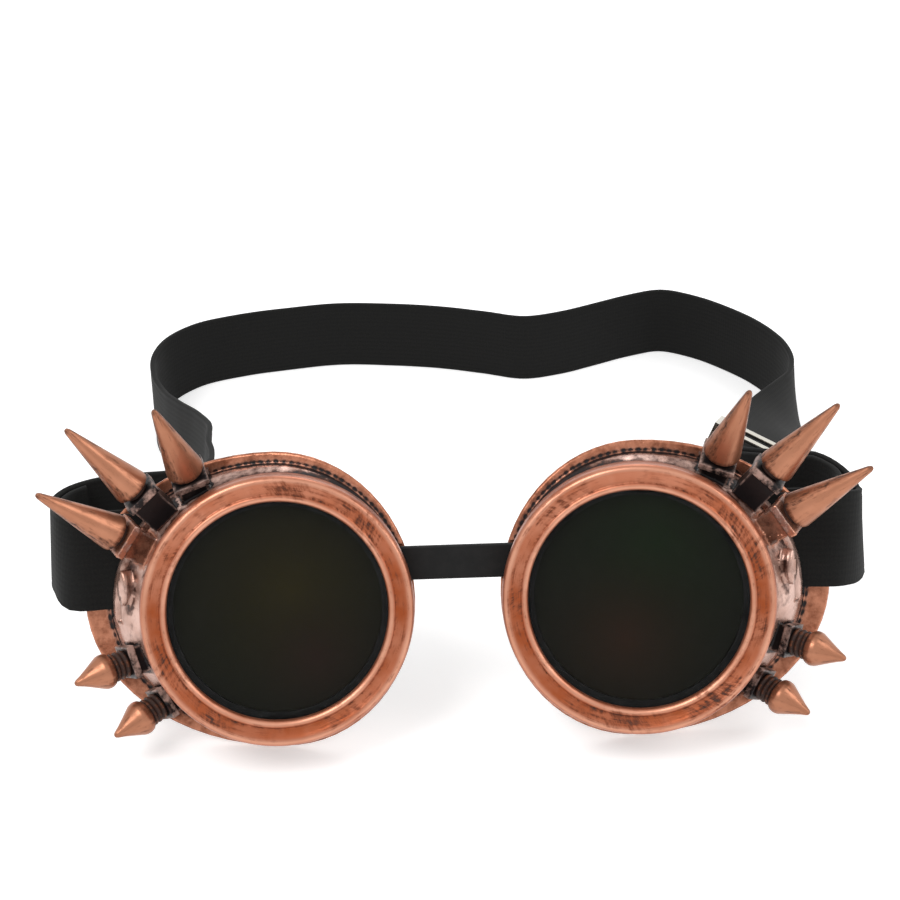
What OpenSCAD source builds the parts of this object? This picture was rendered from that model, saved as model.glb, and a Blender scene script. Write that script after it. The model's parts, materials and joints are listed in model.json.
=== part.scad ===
// Steampunk goggles: two eye cups with screwed retaining rings, a stack of two
// lenses in each, three spikes and two studs on each temple, a bridge strip and
// an elastic head strap with a slider. The goggles stand on a table as they are
// put down: on the lower rims of the cups and on the strap's back edge.

/* [Stance] */
// Free distance between the two retaining rings
bridge_gap = 18.4; // [15:0.1:24]
// Backward tilt of the cups as they stand on a table
tilt = 23.5; // [19:0.5:29]
// Inward turn of each cup
toe_in = 5.3; // [4:0.1:7]

/* [Retaining ring] */
// Thickness of the ring's skirt round the neck
ring_wall = 2.92; // [2.4:0.01:3.6]
// How far the ring's lip covers the edge of the lens
lip_cover = 1; // [0.8:0.1:2]
// Depth of the ring from front to back
ring_depth = 8.4; // [7:0.1:10.5]
// Depth of the shoulder that holds the lens stack
ring_lip = 2.2; // [1.5:0.1:2.7]
// Width of the light inner lip at the opening
inner_lip = 1.1; // [0.8:0.1:1.4]
// Radius of the rounded outer edge of the ring
crown_r = 2.2; // [1:0.1:2.4]

/* [Lens stack] */
// Diameter of both lenses and of the gasket
lens_d = 50; // [41:0.5:60]
// Thickness of the clear cover lens
clear_t = 1.5; // [1.2:0.1:1.8]
// Thickness of the gasket between the lenses
gasket_t = 0.7; // [0.5:0.1:1]
// Thickness of the dark lens
dark_t = 2; // [1.6:0.1:2.4]
// Width of the gasket ring
gasket_w = 2.2; // [1.5:0.1:3]

/* [Eye cup] */
// Thickness of the neck that the ring screws on
neck_wall = 1.65; // [1.3:0.05:2]
// Width of the ledge that carries the lens stack
seat_w = 2.2; // [1.6:0.1:3]
// How far the shoulder behind the ring stands out from the neck
shoulder_step = 0.8; // [0.6:0.1:1.2]
// Thickness of the shoulder
shoulder_t = 1.1; // [0.8:0.1:1.2]
// Thickness of the cup's wall
wall = 1.9; // [1.5:0.1:2.3]
// How far the rear rim reaches beyond the ring at the top and bottom
rim_over_top = 3.8; // [3.2:0.1:7]
// How far the rear rim reaches beyond the ring at the temple
rim_over_temple = 14.2; // [12.5:0.1:17]
// How far the rear rim reaches beyond the ring at the nose
rim_over_nose = 0.8; // [0.6:0.1:2]
// Length of the wall behind the shoulder at the nose
nose_wall = 2.7; // [2.6:0.1:4]
// How much deeper the rear rim is at the temple
temple_sweep = 14.5; // [13:0.5:18]
// Thickness of the rear flange
flange_t = 1.5; // [1.2:0.1:1.8]
// Width of the flange at the temple
flange_temple = 5.5; // [4:0.1:6.6]
// Width of the flange at the top and bottom
flange_top = 2.5; // [2:0.1:3]
// Width of the flange at the nose
flange_nose = 1.5; // [1.2:0.1:1.8]

/* [Strap slots] */
// How much longer the slots in the temple wall are than the strap is wide
slot_room = 2.5; // [1.5:0.1:4]
// How much wider a slot is than the strap is thick
slot_play = 0.7; // [0.6:0.1:1]
// Width of the bar between the slots
bar_w = 2.2; // [1.6:0.1:2.4]
// Distance from the rim's rear edge at the temple to the bar's middle
bar_ahead = 6.3; // [6:0.1:6.6]
// Height of the slots' middle above the lens axis
slot_y = 8.6; // [7:0.2:9.4]
// Forward lean of the slots' upper end
slot_lean = 5; // [4:0.5:7]

/* [Spikes] */
// Length of a spike from its rim to its tip
spike_l = 21; // [14:0.5:25]
// Diameter of a spike at its rim
spike_d = 8.3; // [7:0.1:10]
// Diameter of the blunt tip
spike_tip_d = 1.3; // [0.8:0.1:2]
// Diameter of the dark neck under a spike
spike_neck_d = 5.4; // [4:0.1:6.4]
// Length of that neck
spike_neck_l = 1.2; // [0.8:0.1:2]
// Side of the square block that carries a spike
block_w = 8; // [7:0.1:9]
// Reach of a block from its plate down into the cup's wall
block_l = 8.5; // [8:0.5:10]

/* [Studs] */
// Length of a stud's pointed head
stud_l = 9; // [7:0.5:11]
// Largest diameter of the head
stud_d = 8; // [7.4:0.1:9.6]
// Diameter of the ridged neck
stud_neck_d = 6.5; // [5:0.1:7]
// Length of the ridged neck
stud_neck_l = 3.6; // [3:0.1:4.4]
// Side of the block that carries a stud
stud_block_w = 7.4; // [6.6:0.1:8.4]
// Reach of that block down into the cup's wall
stud_block_l = 7.5; // [7:0.5:9]

/* [Bridge strip] */
// Height of the strip
bridge_h = 7.6; // [6:0.2:9.2]
// Thickness of the strip
bridge_t = 1.8; // [1.4:0.1:2.2]
// Height of the strip's middle above the lens axis
bridge_y = 8; // [4:0.5:10]
// Depth of the strip behind the shoulder, where it enters a cup
bridge_behind = 0.5; // [0.4:0.1:1]

/* [Head strap] */
// Width of the strap
strap_w = 22; // [18:0.5:22.5]
// Thickness of the strap
strap_t = 1.5; // [1:0.1:1.6]

/* [Slider] */
// Diameter of the slider's wire
wire_d = 1.5; // [1.2:0.1:2]
// Distance from an outer bar to the middle bar
bar_pitch = 3.4; // [3:0.1:5]
// Thickness of the slider's two side plates
side_t = 1.2; // [0.8:0.1:1.6]

/* [Fits] */
// Radial play between ring and neck
ring_play = 0.08; // [0.05:0.01:0.1]
// Play round the lenses in their seat
lens_play = 0.15; // [0.1:0.01:0.3]
// Play in front of and behind the lens stack
stack_play = 0.05; // [0.02:0.01:0.1]
// Gap between the ring and the shoulder
ring_gap = 0.3; // [0.2:0.05:0.5]
// Gap round soft pieces
soft_gap = 0.3; // [0.25:0.05:0.4]
// Gap between two layers of the strap
layer_gap = 0.6; // [0.5:0.05:0.8]
// Play round the stubs of spikes and studs
stub_play = 0.05; // [0.03:0.01:0.1]

/* [Hidden] */

copper = "#c77c55";
old_copper = "#8d6a5c";
black_glass = "#1c1c1a";
clear_glass = "#c9d4d6";
rubber = "#262626";
webbing = "#2e2e2e";
nickel = "#d8d4cc";

// Places along the lens axis, as depths behind the ring's front face
clear_front = ring_lip + stack_play;
gasket_front = clear_front + clear_t;
dark_front = gasket_front + gasket_t;
seat_depth = dark_front + dark_t + stack_play;
neck_front = ring_lip + 0.4;
shoulder_front = ring_depth + ring_gap;
shoulder_back = shoulder_front + shoulder_t;

nose_depth = shoulder_back + nose_wall;
bar_depth = nose_depth + temple_sweep - bar_ahead;
bridge_depth = shoulder_back + bridge_behind;

// Radii, from the lens outwards
lens_r = lens_d / 2;
aperture_r = lens_r - lip_cover;
bore_r = lens_r - seat_w;
neck_r = lens_r + lens_play + neck_wall;
shoulder_r = neck_r + shoulder_step;
ring_r = neck_r + ring_play + ring_wall;
rim_half_h = ring_r + rim_over_top;
rim_temple = ring_r + rim_over_temple;
rim_nose = ring_r + rim_over_nose;
lens_spacing = 2 * ring_r + bridge_gap;
slot_h = strap_w + slot_room;
slot_w = strap_t + slot_play;

// The rear rim is two half ellipses and deepest at the temple. The angle a
// is 0 at the temple, 90 at the top and 180 at the nose.
around = 64;
angles = [for (i = [0:around - 1]) 360 * i / around];
function rim_depth(a) = nose_depth + temple_sweep * pow((1 + cos(a)) / 2, 1.5);
function rim_less(a, temple, nose, top) =
  [(cos(a) > 0 ? rim_temple - temple : rim_nose - nose) * cos(a), (rim_half_h - top) * sin(a)];
function rim_at(a, inset) = rim_less(a, inset, inset, inset);
function wall_at(a, inset) =
  rim_less(a, flange_temple + inset, flange_nose + inset, flange_top + inset);

// From a cup's own frame (x to the temple, y up, z to the front) to the table's
// directions, with the point between the lens centres as the middle
function spin_x(p, a) = [p[0], p[1] * cos(a) - p[2] * sin(a), p[1] * sin(a) + p[2] * cos(a)];
function spin_z(p, a) = [p[0] * cos(a) - p[1] * sin(a), p[0] * sin(a) + p[1] * cos(a), p[2]];
function cup_point(p) =
  [lens_spacing / 2, 0, 0] + spin_x(spin_z([p[0], -p[2], p[1]], -toe_in), -tilt);
// Height of the lens centres: the rear rims touch the table
rim_low = [for (a = angles) let (p = rim_at(a, 0)) cup_point([p[0], p[1], -rim_depth(a)])[2]];
lens_h = -min(rim_low);
// The middle of the whole outline on the table
middle_x = 4;
middle_y = 97;

module on_table() translate([-middle_x, -middle_y, lens_h]) children();
module cup_place() translate([lens_spacing / 2, 0, 0])
  rotate([-tilt, 0, 0]) rotate([0, 0, -toe_in]) rotate([90, 0, 0]) children();
module right_cup() on_table() cup_place() children();
module left_cup() on_table() mirror([1, 0, 0]) cup_place() children();
// A revolved piece whose profile is given as [radius, depth]
module turned(profile) rotate_extrude($fn = 96) polygon([for (p = profile) [p[0], -p[1]]]);
// Places a spike or stud: z runs from its rim to its tip
module aimed(seat) translate(seat[0]) rotate([0, 90 - seat[2], seat[1]]) children();

// A closed solid from rows of points, each with as many points as the others.
// The two halves of a row have their diagonals the other way round, so that
// opposite faces of a band stay parallel where it twists.
module skin(rows) {
  n = len(rows[0]);
  last = (len(rows) - 1) * n;
  sides = [
    for (r = [0:len(rows) - 2], i = [0:n - 1])
      let (a = r * n + i, b = r * n + (i + 1) % n, c = a + n, d = b + n)
        each i < n / 2 ? [[a, d, c], [a, b, d]] : [[a, b, c], [b, d, c]]
  ];
  front = [for (i = [1:n - 2]) [0, i + 1, i]];
  back = [for (i = [1:n - 2]) [last, last + i, last + i + 1]];
  polyhedron([for (row = rows) each row], concat(sides, front, back));
}

// Seats of the spikes and studs in the cup's frame: the rim's middle lies this
// far outside the ring, in this direction and this far behind the shoulder, and
// the spike points this way in the cup's plane and leans forward by the last angle
function seat(outside, way, behind, turn, lean) = [
  [(ring_r + outside) * cos(way), (ring_r + outside) * sin(way), -shoulder_back - behind], turn, lean
];
spike_top = seat(6.3, 58, 2.2, 70, 43.5);
spike_middle = seat(11, 41.4, 2.2, 47.5, 23);
spike_side = seat(9.2, 26.4, 2.2, 33.9, 28);
stud_upper = seat(10.1, -19.5, 4.2, -15.5, 28);
stud_lower = seat(8.8, -38.3, 4.2, -27.5, 31);
spike_seats = [spike_top, spike_middle, spike_side];
stud_seats = [stud_upper, stud_lower];
// The stub of a spike or stud sits in a hole of its block
stub_d = 3.4;
stub_l = 3.5;
plate_t = 1.6;
plate_edge = 0.6;

// One row of the cup's wall: t is 0 at the shoulder and 1 at the flange
function bulge(t) = 1 - pow(1 - t, 1.6);
function wall_row(t, inset, start) = [
  for (a = angles)
    let (
      b = bulge(t),
      front = (shoulder_r - 0.3 - inset) * [cos(a), sin(a)],
      back = wall_at(a, inset),
      depth = start + t * (rim_depth(a) - flange_t - start)
    ) [front[0] + b * (back[0] - front[0]), front[1] + b * (back[1] - front[1]), -depth]
];
function rim_row(inset, lift) =
  [for (a = angles) let (p = rim_at(a, inset)) [p[0], p[1], lift - rim_depth(a)]];
function mouth_row(inset, lift) =
  [for (a = angles) let (p = wall_at(a, inset)) [p[0], p[1], lift - rim_depth(a)]];
wall_steps = [0, 0.2, 0.42, 0.68, 1];
rim_edge = 0.4;
module outer_form() skin(concat(
  [for (t = wall_steps) wall_row(t, 0, shoulder_front + shoulder_t / 2)],
  [rim_row(rim_edge, flange_t), rim_row(0, flange_t - rim_edge), rim_row(0, rim_edge),
    rim_row(rim_edge, 0), mouth_row(wall + 1, 0)]
));
module cavity() skin(concat(
  [for (t = wall_steps) wall_row(t, wall, shoulder_back)],
  [mouth_row(wall - 0.4, 0), mouth_row(wall - 0.4, -5)]
));
module neck() turned([
  [0, neck_front], [neck_r - 0.4, neck_front], [neck_r, neck_front + 0.4], [neck_r, shoulder_front],
  [shoulder_r, shoulder_front], [shoulder_r, shoulder_back], [0, shoulder_back]
]);
module lens_seat() turned([
  [0, neck_front - 1], [lens_r + lens_play, neck_front - 1], [lens_r + lens_play, seat_depth],
  [bore_r, seat_depth], [bore_r, shoulder_back + 1], [0, shoulder_back + 1]
]);
// The square block under a spike or stud, with a plate at its outer end
module block(seat, neck_l, w, l) aimed(seat) translate([0, 0, -neck_l]) {
  translate([-w / 2, -w / 2, -plate_t]) cube([w, w, plate_t]);
  translate([-w / 2 + plate_edge, -w / 2 + plate_edge, -l])
    cube([w - 2 * plate_edge, w - 2 * plate_edge, l - plate_t / 2]);
}
module stub_hole(seat, neck_l) aimed(seat)
  translate([0, 0, -neck_l - stub_l - 0.3])
    cylinder(d = stub_d + 2 * stub_play, h = stub_l + 1.3, $fn = 32);
module slots() translate([0, slot_y, -bar_depth]) rotate([slot_lean, 0, 0])
  for (side = [-1, 1])
    translate([bore_r, -slot_h / 2, side * (bar_w + slot_w) / 2 - slot_w / 2])
      cube([rim_temple, slot_h, slot_w]);
// A raised pointed oval in front of the slots, under the block of the side spike
boss_half_l = 4;
boss_half_w = 1.7;
module oval_boss() {
  r = (pow(boss_half_l, 2) + pow(boss_half_w, 2)) / (2 * boss_half_w);
  translate([ring_r + 1.7, 4.6, -shoulder_back - 7.1]) rotate([0, 52, 0]) intersection() {
    translate([r - boss_half_w, 0, 0]) cylinder(r = r, h = 4, $fn = 48);
    translate([boss_half_w - r, 0, 0]) cylinder(r = r, h = 4, $fn = 48);
  }
}
module eye_cup() color(old_copper) difference() {
  union() {
    outer_form();
    neck();
    for (seat = spike_seats) block(seat, spike_neck_l, block_w, block_l);
    for (seat = stud_seats) block(seat, stud_neck_l, stud_block_w, stud_block_l);
    oval_boss();
  }
  lens_seat();
  cavity();
  for (seat = spike_seats) stub_hole(seat, spike_neck_l);
  for (seat = stud_seats) stub_hole(seat, stud_neck_l);
  slots();
  bridge_room();
}

module retaining_ring() color(copper) turned(concat(
  [[aperture_r, ring_lip], [aperture_r, 1.1], [aperture_r + 0.4, 0.6], [aperture_r + inner_lip, 0.35],
    [aperture_r + inner_lip + 0.5, 0]],
  [for (k = [0:4]) let (a = 22.5 * k) [ring_r - crown_r * (1 - sin(a)), crown_r * (1 - cos(a))]],
  [[ring_r, ring_depth - 0.4], [ring_r - 0.4, ring_depth],
    [neck_r + ring_play, ring_depth], [neck_r + ring_play, ring_lip]]
));
module disc(front, thick) translate([0, 0, -front - thick]) cylinder(r = lens_r, h = thick, $fn = 96);
module clear_lens() color(clear_glass) disc(clear_front, clear_t);
module dark_lens() color(black_glass) disc(dark_front, dark_t);
module lens_gasket() color(rubber) difference() {
  disc(gasket_front, gasket_t);
  translate([0, 0, -dark_front - 1]) cylinder(r = lens_r - gasket_w, h = gasket_t + 2, $fn = 96);
}

module spike(seat) color(copper) aimed(seat) rotate_extrude($fn = 48) polygon([
  [0, -spike_neck_l - stub_l], [stub_d / 2, -spike_neck_l - stub_l], [stub_d / 2, -spike_neck_l],
  [spike_neck_d / 2, -spike_neck_l], [spike_neck_d / 2, 0], [spike_d / 2 - 0.4, 0], [spike_d / 2, 0.3],
  [spike_d / 2, 1.1], [spike_tip_d / 2, spike_l - 0.5], [spike_tip_d / 2 - 0.3, spike_l], [0, spike_l]
]);
module stud(seat) color(copper) aimed(seat) rotate_extrude($fn = 48) polygon(concat(
  [[0, -stud_neck_l - stub_l], [stub_d / 2, -stud_neck_l - stub_l], [stub_d / 2, -stud_neck_l]],
  [for (k = [0:2]) let (z = (k - 3) * stud_neck_l / 3, r = stud_neck_d / 2)
    each [[r - 0.5, z], [r, z + 0.3], [r, z + 0.8], [r - 0.5, z + 1.1]]],
  [[stud_neck_d / 2 - 0.5, 0], [stud_d / 2 - 0.9, 0.1], [stud_d / 2 - 0.2, 1], [stud_d / 2, 2],
    [stud_d / 2 - 0.4, 2.8], [spike_tip_d / 2, stud_l - 0.3], [0, stud_l]]
));

// The bridge strip lies level across both cups, in the tilt of their lenses. A
// thick end inside each cup holds it.
bridge_wall = -sqrt(pow(wall_at(180, 0)[0], 2) - pow(bridge_y, 2));
bridge_mid = spin_z([bridge_wall, bridge_depth, 0], -toe_in);
bridge_half = lens_spacing / 2 + bridge_mid[0] + 6;
bead_l = 3;
bead_t = 1.2;
module strip(gap) {
  translate([-bridge_half, -bridge_t / 2 - gap, -bridge_h / 2 - gap])
    cube([2 * bridge_half, bridge_t + 2 * gap, bridge_h + 2 * gap]);
  for (side = [-1, 1])
    translate([side * (bridge_half - bead_l / 2) - bead_l / 2, -bridge_t / 2 - gap, -bridge_h / 2 - gap])
      cube([bead_l, bridge_t + bead_t + 2 * gap, bridge_h + 2 * gap]);
}
module bridge_strip() color(webbing)
  on_table() rotate([-tilt, 0, 0]) translate([0, bridge_mid[1], bridge_y]) strip(0);
// The strip with its gap all round, placed in the right cup's frame
module bridge_room() rotate([-90, 0, 0]) rotate([0, 0, toe_in])
  translate([-lens_spacing / 2, bridge_mid[1], bridge_y]) strip(soft_gap);

// Course of the strap's middle line as it lies, with the point between the
// lens centres as the middle, for goggles that reach 83 mm to each temple:
// [x, y, height of its lower edge above the table, lean of its upper edge]
course_reach = 83;
course_scale = (lens_spacing / 2 + rim_temple) / course_reach;
left_course = [
  [-92, 27, 28, -6], [-93.4, 33.5, 27.2, -6],
  [-90.4, 39.8, 27, -6], [-83, 43, 26.8, 0], [-74, 46.5, 25.5, 0], [-66.5, 51.5, 23, -2],
  [-62.3, 60, 20, -5], [-62.3, 70, 17.5, -8], [-64.6, 82, 15, -8], [-66.5, 97, 11.5, -10],
  [-71.5, 111, 8, -10], [-78.4, 125, 4.5, -9], [-85.5, 141, 1.2, -6], [-90, 156, 0, -2]
];
back_course = [
  [-91, 168, 0, 0], [-88.5, 180, 0, 0], [-80.5, 190.5, 0, 0], [-68, 196.5, 0, 0], [-52, 200.5, 0, 0],
  [-37, 203, 0, 0], [-20, 201.5, 0, 0], [-3, 198, 0, 0], [12, 192.5, 0, 0], [24, 188, 0, 0],
  [36, 190.8, 0, 0], [48, 196.5, 0, 0], [60, 202.5, 0, 0], [70, 205.5, 0, 0], [80, 200, 0, 0],
  [89, 190.5, 0, 0], [97, 178.5, 0, 0], [101.8, 165, 0, 0], [103.2, 152, 0, -3],
  [101.6, 139, 1, -14], [97.8, 127, 4, -34], [92.8, 115, 8, -54]
];
// The slider rides on a straight stretch: its middle, its heading and its lean
slider_mid = [80, 83, 17.7];
slider_heading = [-0.36, -0.9, 0.24];
slider_lean = -71;
straight_half = 15;
right_course = [
  [71.5, 61, 23.4, -48], [72.5, 53.5, 24.6, -20], [78, 48.4, 25.6, -5], [85.5, 46, 25.8, 0],
  [90.8, 41, 25.3, -4], [93.4, 35, 25, -7], [93.6, 29, 25, -7]
];

function unit(v) = v / norm(v);
// Direction of the strap's upper edge for a heading and a lean
function edge_of(heading, lean) =
  let (t = unit(heading), side = unit([-t[1], t[0], 0])) cos(lean) * cross(t, side) + sin(lean) * side;
function lifted(p) =
  [p[0] * course_scale, p[1] * course_scale, p[2] * course_scale + strap_w / 2 - lens_h];
// Stations of the strap: [middle, direction of the upper edge]
function stations(course) = [
  for (i = [0:len(course) - 1])
    let (
      before = lifted(course[max(i - 1, 0)]),
      after = lifted(course[min(i + 1, len(course) - 1)])
    ) [lifted(course[i]), edge_of(after - before, course[i][3])]
];
function mirrored(list) = [for (s = list) [[-s[0][0], s[0][1], s[0][2]], [-s[1][0], s[1][1], s[1][2]]]];
function reversed(list) = [for (i = [len(list) - 1:-1:0]) list[i]];

// Through the rear slot of the right cup and back behind its rim: points are
// [outward, forward] in the frame of the slots
slot_plane = -(bar_w + slot_w) / 2;
// How far the rim reaches behind the slots, over the strap's width
rim_behind = max([
  for (k = [-1:0.25:1])
    let (y = slot_y + k * strap_w / 2)
      rim_depth(asin(y / rim_half_h)) - bar_depth + k * strap_w / 2 * sin(slot_lean)
]);
back_plane = -(rim_behind + soft_gap + strap_t / 2) / cos(slot_lean);
turn_r = (slot_plane - back_plane) / 2;
turn_x = rim_temple - 18.5;
strap_lift = 0.6;
function slot_station(p) =
  let (
    middle = [0, slot_y, -bar_depth],
    at = middle + spin_x([p[0], strap_lift, p[1]], slot_lean),
    above = middle + spin_x([p[0], strap_lift + 1, p[1]], slot_lean)
  ) [cup_point(at), cup_point(above) - cup_point(at)];
function turn_stations(from, to) = [
  for (k = [0:4])
    let (a = from + (to - from) * k / 4)
      slot_station([turn_x - turn_r * sin(a), slot_plane - turn_r * (1 - cos(a))])
];
// Outside the wall the strap keeps to the slot's plane till it has passed the rim
past_rim = rim_temple + 2;
// The turn is cut at its middle, so that the returning layer is a piece of its own
seam = 8;
way_in = concat(
  [for (x = [past_rim, rim_temple - 4, rim_temple - 9, rim_temple - 14, turn_x])
    slot_station([x, slot_plane])],
  turn_stations(22, 90 - seam)
);
way_back = concat(
  turn_stations(90 + seam, 158),
  [for (x = [turn_x, rim_temple - 13, rim_temple - 7, rim_temple - 1]) slot_station([x, back_plane])]
);

// A smooth line through stations, with rings about this far apart
strap_step = 4;
function slope_at(list, i) =
  let (
    n = len(list) - 1,
    a = list[max(i - 1, 0)], b = list[i], c = list[min(i + 1, n)],
    before = max(norm(b[0] - a[0]), 0.001), after = max(norm(c[0] - b[0]), 0.001)
  )
    i == 0 ? (c - b) / after
    : i == n ? (b - a) / before
    : ((c - b) / after * before + (b - a) / before * after) / (before + after);
function spans(list, from, to) = [
  for (i = [from:to - 1])
    let (
      a = list[i], b = list[i + 1], d = norm(b[0] - a[0]),
      p = slope_at(list, i) * d, q = slope_at(list, i + 1) * d,
      count = max(1, round(d / strap_step))
    )
      for (k = [0:count - 1])
        let (t = k / count, t2 = t * t, t3 = t2 * t)
          (2 * t3 - 3 * t2 + 1) * a + (t3 - 2 * t2 + t) * p + (3 * t2 - 2 * t3) * b + (t3 - t2) * q
];
function smooth(list, from) = concat(spans(list, from, len(list) - 1), [list[len(list) - 1]]);
function headings(line) = [
  for (i = [0:len(line) - 1]) unit(line[min(i + 1, len(line) - 1)][0] - line[max(i - 1, 0)][0])
];
// Rings of a band: [middle, direction of the upper edge, direction out of the
// face that looks into the loop]
function rings(line) =
  let (ways = headings(line)) [
    for (i = [0:len(line) - 1])
      let (t = ways[i], w = unit(line[i][1] - (line[i][1] * t) * t)) [line[i][0], w, cross(t, w)]
  ];
function band_rows(rings) = [
  for (ring = rings)
    let (p = ring[0], up = ring[1] * strap_w / 2, out = ring[2] * strap_t / 2)
      [p + up + out, p + up - out, p - up - out, p - up + out]
];
// A second layer beside a band, on the side that looks into the loop
layer = strap_t + layer_gap;
function beside(rings) = [for (r = rings) [r[0] + r[2] * layer, r[1], r[2]]];
function turned_round(rings) = [for (r = reversed(rings)) [r[0], r[1], -r[2]]];
function part_of(list, from, to) = [for (i = [from:to]) list[i]];
// Rings of a line that goes on from another one, whose last point is given
function rings_after(before, line) = part_of(rings(concat([before], line)), 1, len(line));
bar_gap = 0.1;

slider_way = unit(slider_heading);
slider_edge = edge_of(slider_heading, slider_lean);
slider_side = cross(slider_way, slider_edge);
function on_slider(along, below) =
  [lifted(slider_mid) + along * slider_way + below * slider_side, slider_edge];
straight = [for (k = [-1, -0.5, 0, 0.5, 1]) on_slider(k * straight_half, 0)];
right_side = stations(right_course);
left_side = stations(left_course);
loop = concat(
  reversed(mirrored(way_in)), left_side, stations(back_course), straight, right_side, way_in
);

// On the left the strap's end is turned back and sewn to its own inner side
hem_from = len(way_in) + 1;
left_hem = beside(rings(spans(loop, hem_from, hem_from + 2)));
function station_of(ring) = [ring[0], ring[1]];
hem_bend = station_of(left_hem[1]);
left_start = smooth(concat([hem_bend, station_of(left_hem[0])], reversed(mirrored(way_back)), loop), 1);
strap_rings = concat(
  turned_round(part_of(left_hem, 1, len(left_hem) - 1)), rings_after(hem_bend, left_start)
);

// On the right the returning layer lies inside the loop, passes under the strap
// and is sewn round the slider's middle bar
bar_drop = layer + strap_t / 2 + bar_gap + wire_d / 2;
bar_turn = (strap_t + wire_d) / 2 + bar_gap;
layer_from = len(loop) - len(way_in) - len(right_course) - 1;
layer_to = layer_from + len(right_course) - 2;
tab = concat(
  [on_slider(9, bar_drop + bar_turn), on_slider(4, bar_drop + bar_turn), on_slider(0, bar_drop + bar_turn)],
  [for (a = [150:-30:30]) on_slider(-bar_turn * sin(a), bar_drop - bar_turn * cos(a))],
  [on_slider(0, layer), on_slider(3, layer)]
);
right_layer = beside(rings(spans(loop, layer_from, layer_to)));
layer_end = len(right_layer) - 1;
layer_bend = station_of(right_layer[layer_end - 1]);
right_end = smooth(concat([layer_bend, station_of(right_layer[layer_end])], reversed(way_back)), 1);
return_rings = concat(
  rings(tab), part_of(right_layer, 0, layer_end - 1), rings_after(layer_bend, right_end)
);
module band(rings) color(webbing) on_table() skin(band_rows(rings));
module head_strap() band(strap_rings);
module strap_return() band(return_rings);

// Slider: x along the strap's edge, y along its heading, z out of its face
module slider_place() on_table()
  multmatrix([
    for (i = [0:2]) [slider_edge[i], slider_way[i], -slider_side[i], lifted(slider_mid)[i]]
  ])
    children();
rail_x = strap_w / 2 + 0.5;
bar_rise = strap_t / 2 + soft_gap + wire_d / 2;
module side_plate() difference() {
  translate([0, -bar_pitch - wire_d / 2, -bar_drop - wire_d])
    cube([side_t, 2 * bar_pitch + wire_d, bar_drop + bar_rise + 1.5 * wire_d]);
  translate([-1, 0, -bar_drop]) rotate([0, 90, 0])
    cylinder(d = wire_d + 2 * stub_play, h = side_t + 2, $fn = 24);
}
module slider_frame() color(nickel) slider_place() union() {
  for (y = [-bar_pitch, bar_pitch])
    translate([-rail_x - side_t / 2, y, bar_rise]) rotate([0, 90, 0])
      cylinder(d = wire_d, h = 2 * rail_x + side_t, $fn = 24);
  translate([rail_x, 0, 0]) side_plate();
  translate([-rail_x - side_t, 0, 0]) side_plate();
}
module slider_bar() color(nickel) slider_place()
  translate([-rail_x - side_t, 0, -bar_drop]) rotate([0, 90, 0])
    cylinder(d = wire_d, h = 2 * (rail_x + side_t), $fn = 24);

left_cup() eye_cup();  // left_eye_cup
left_cup() retaining_ring();  // left_retaining_ring
left_cup() clear_lens();  // left_clear_lens
left_cup() lens_gasket();  // left_lens_gasket
left_cup() dark_lens();  // left_dark_lens
left_cup() spike(spike_top);  // left_spike_top
left_cup() spike(spike_middle);  // left_spike_middle
left_cup() spike(spike_side);  // left_spike_side
left_cup() stud(stud_upper);  // left_stud_upper
left_cup() stud(stud_lower);  // left_stud_lower
right_cup() eye_cup();  // right_eye_cup
right_cup() retaining_ring();  // right_retaining_ring
right_cup() clear_lens();  // right_clear_lens
right_cup() lens_gasket();  // right_lens_gasket
right_cup() dark_lens();  // right_dark_lens
right_cup() spike(spike_top);  // right_spike_top
right_cup() spike(spike_middle);  // right_spike_middle
right_cup() spike(spike_side);  // right_spike_side
right_cup() stud(stud_upper);  // right_stud_upper
right_cup() stud(stud_lower);  // right_stud_lower
bridge_strip();
head_strap();
strap_return();
slider_frame();
slider_bar();
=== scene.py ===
# %% [markdown]
# Steampunk goggles, lying on a white table as a shop photographs them. The
# construction comes packed from CAD at its real size. This script gives each
# piece its finish, and models the pieces whose look needs more than the CAD
# solid: the turned rings and spikes, the plated cups and the woven strap.

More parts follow.
